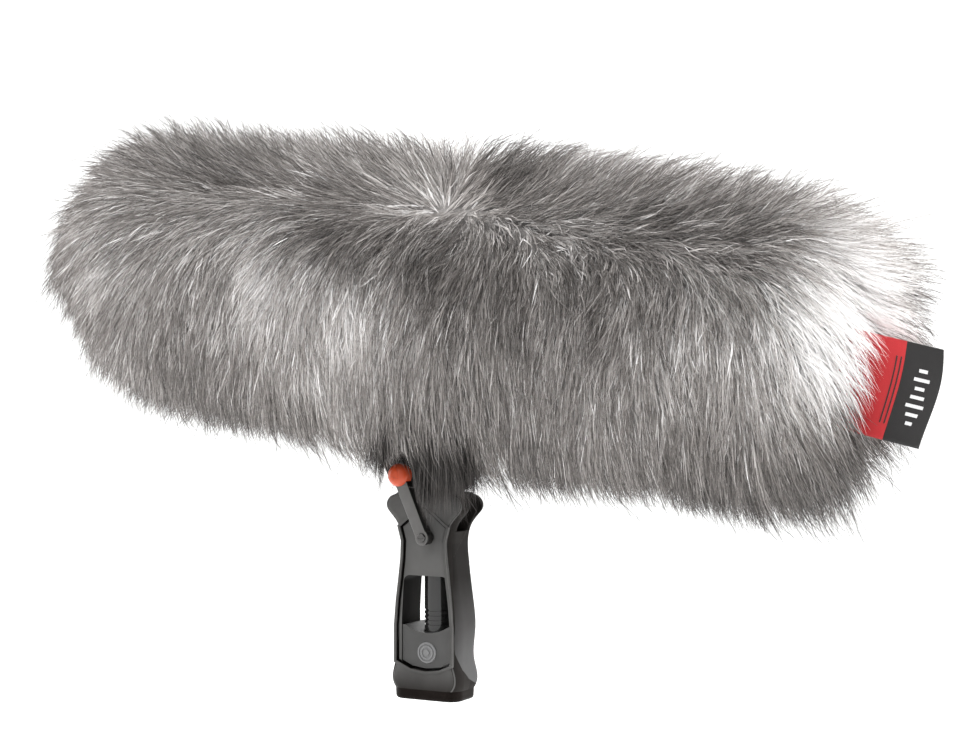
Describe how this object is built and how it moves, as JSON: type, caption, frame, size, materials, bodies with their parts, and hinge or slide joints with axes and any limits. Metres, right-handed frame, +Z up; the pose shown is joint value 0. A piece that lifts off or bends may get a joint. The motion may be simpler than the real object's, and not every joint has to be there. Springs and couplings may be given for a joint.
{
  "type": "furry microphone windscreen",
  "caption": "Long-haired windshield basket for a shotgun microphone on a tilting pistol grip with a clamp lever, sprung suspension and a parked cable connector.",
  "frame": {"origin": "mouth of the boom thread in the underside of the pistol grip", "axes": "+Z up; +X towards the rear of the windshield, the end with the sewn label; -Y the face of the grip with the clamp lever"},
  "size_m": [0.5719, 0.184, 0.3396],
  "materials": {
    "handle_plastic": "fine moulded texture, near-black grey",
    "grip_rubber": "soft-touch grey pad",
    "cradle_plastic": "satin moulded, slightly lighter than the grip",
    "badge": "plain round disc with no lettering",
    "orange_plastic": "satin orange",
    "black_metal": "satin black coating",
    "steel": "plain",
    "brass": "turned",
    "contact": "gold-coloured plating",
    "insert_plastic": "plain",
    "boot_rubber": "matte",
    "lead_rubber": "matte",
    "basket_plastic": "satin",
    "gauze": "fine open net",
    "lyre_plastic": "springy moulding",
    "backing_knit": "knitted backing",
    "long_pile": "long silky pile, light roots and dark tips",
    "hem_fabric": "woven binding",
    "label_fabric": "woven ribbon, red with a black outer half",
    "zip_fabric": "woven tape",
    "zip_plastic": "moulded teeth",
    "zip_metal": "black coating"
  },
  "bodies": {
    "handle": {"handle_near": "handle_plastic", "handle_far": "handle_plastic", "side_grip_front": "grip_rubber", "side_grip_rear": "grip_rubber", "base_cap": "handle_plastic", "base_screws": "steel", "thread_insert": "brass", "handle_screws": "steel", "connector_cradle": "cradle_plastic", "cradle_badge": "badge", "plug_shell": "black_metal", "plug_insert": "insert_plastic", "plug_pins": "contact", "plug_boot": "boot_rubber", "pivot_axle": "steel", "washer_near": "boot_rubber", "washer_far": "boot_rubber", "clamp_bolt": "steel", "clamp_nut": "black_metal", "lever_screw": "steel"},
    "clamp_lever": {"lever_arm": "handle_plastic", "lever_knob": "orange_plastic"},
    "windshield": {"yoke": "handle_plastic", "yoke_screws": "steel", "saddle": "handle_plastic", "rail_screws": "steel", "inner_rail": "basket_plastic", "basket_tube": "basket_plastic", "tube_gauze": "gauze", "front_lock_ring": "basket_plastic", "rear_lock_ring": "basket_plastic", "mic_lead": "lead_rubber", "tail_clip": "basket_plastic", "tail_plug": "black_metal", "cover_backing": "backing_knit", "fur_cover": "long_pile", "hem_binding": "hem_fabric", "label_tab": "label_fabric", "zip_tape": "zip_fabric", "zip_teeth": "zip_plastic"},
    "front_cap": {"front_cap_frame": "basket_plastic", "front_cap_gauze": "gauze"},
    "rear_cap": {"rear_cap_frame": "basket_plastic", "rear_cap_gauze": "gauze"},
    "bar": {"suspension_bar": "basket_plastic"},
    "bar_lock": {"bar_lock": "black_metal"},
    "front_lyre": {"front_lyre": "lyre_plastic", "front_lyre_screw": "steel"},
    "rear_lyre": {"rear_lyre": "lyre_plastic", "rear_lyre_screw": "steel"},
    "zip_slider": {"zip_slider": "zip_metal"},
    "zip_pull": {"zip_pull": "zip_metal"}
  },
  "joints": [
    {"name": "tilt", "type": "hinge", "parent": "handle", "child": "windshield", "pos_m": [0.002, 0, 0.108], "axis": [0, 1, 0], "range_deg": [-37.5, 27.5], "deforming": ["mic_lead"]},
    {"name": "clamp_swing", "type": "hinge", "parent": "handle", "child": "clamp_lever", "pos_m": [0.0029, 0, 0.0926], "axis": [0, 1, 0], "range_deg": [0, 60]},
    {"name": "front_cap_twist", "type": "hinge", "parent": "windshield", "child": "front_cap", "pos_m": [-0.15756, 0, 0.25206], "axis": [0.9914, 0, -0.1305], "range_deg": [0, 20]},
    {"name": "rear_cap_twist", "type": "hinge", "parent": "windshield", "child": "rear_cap", "pos_m": [0.14979, 0, 0.2116], "axis": [0.9914, 0, -0.1305], "range_deg": [0, 20]},
    {"name": "bar_slide", "type": "slide", "parent": "windshield", "child": "bar", "axis": [0.9914, 0, -0.1305], "range_m": [-0.012, 0.012]},
    {"name": "bar_lock_turn", "type": "hinge", "parent": "bar", "child": "bar_lock", "pos_m": [-0.01837, 0, 0.19843], "axis": [0.1305, 0, 0.9914], "range_deg": [0, 180]},
    {"name": "front_lyre_slide", "type": "slide", "parent": "bar", "child": "front_lyre", "axis": [0.9914, 0, -0.1305], "range_m": [-0.01, 0.01]},
    {"name": "rear_lyre_slide", "type": "slide", "parent": "bar", "child": "rear_lyre", "axis": [0.9914, 0, -0.1305], "range_m": [-0.01, 0.01]},
    {"name": "zip_slide", "type": "slide", "parent": "windshield", "child": "zip_slider", "axis": [0.9914, 0, -0.1305], "range_m": [0, 0.08]},
    {"name": "zip_pull_swing", "type": "hinge", "parent": "zip_slider", "child": "zip_pull", "pos_m": [0.06911, 0, 0.15807], "axis": [0, 1, 0], "range_deg": [-60, 60]}
  ]
}
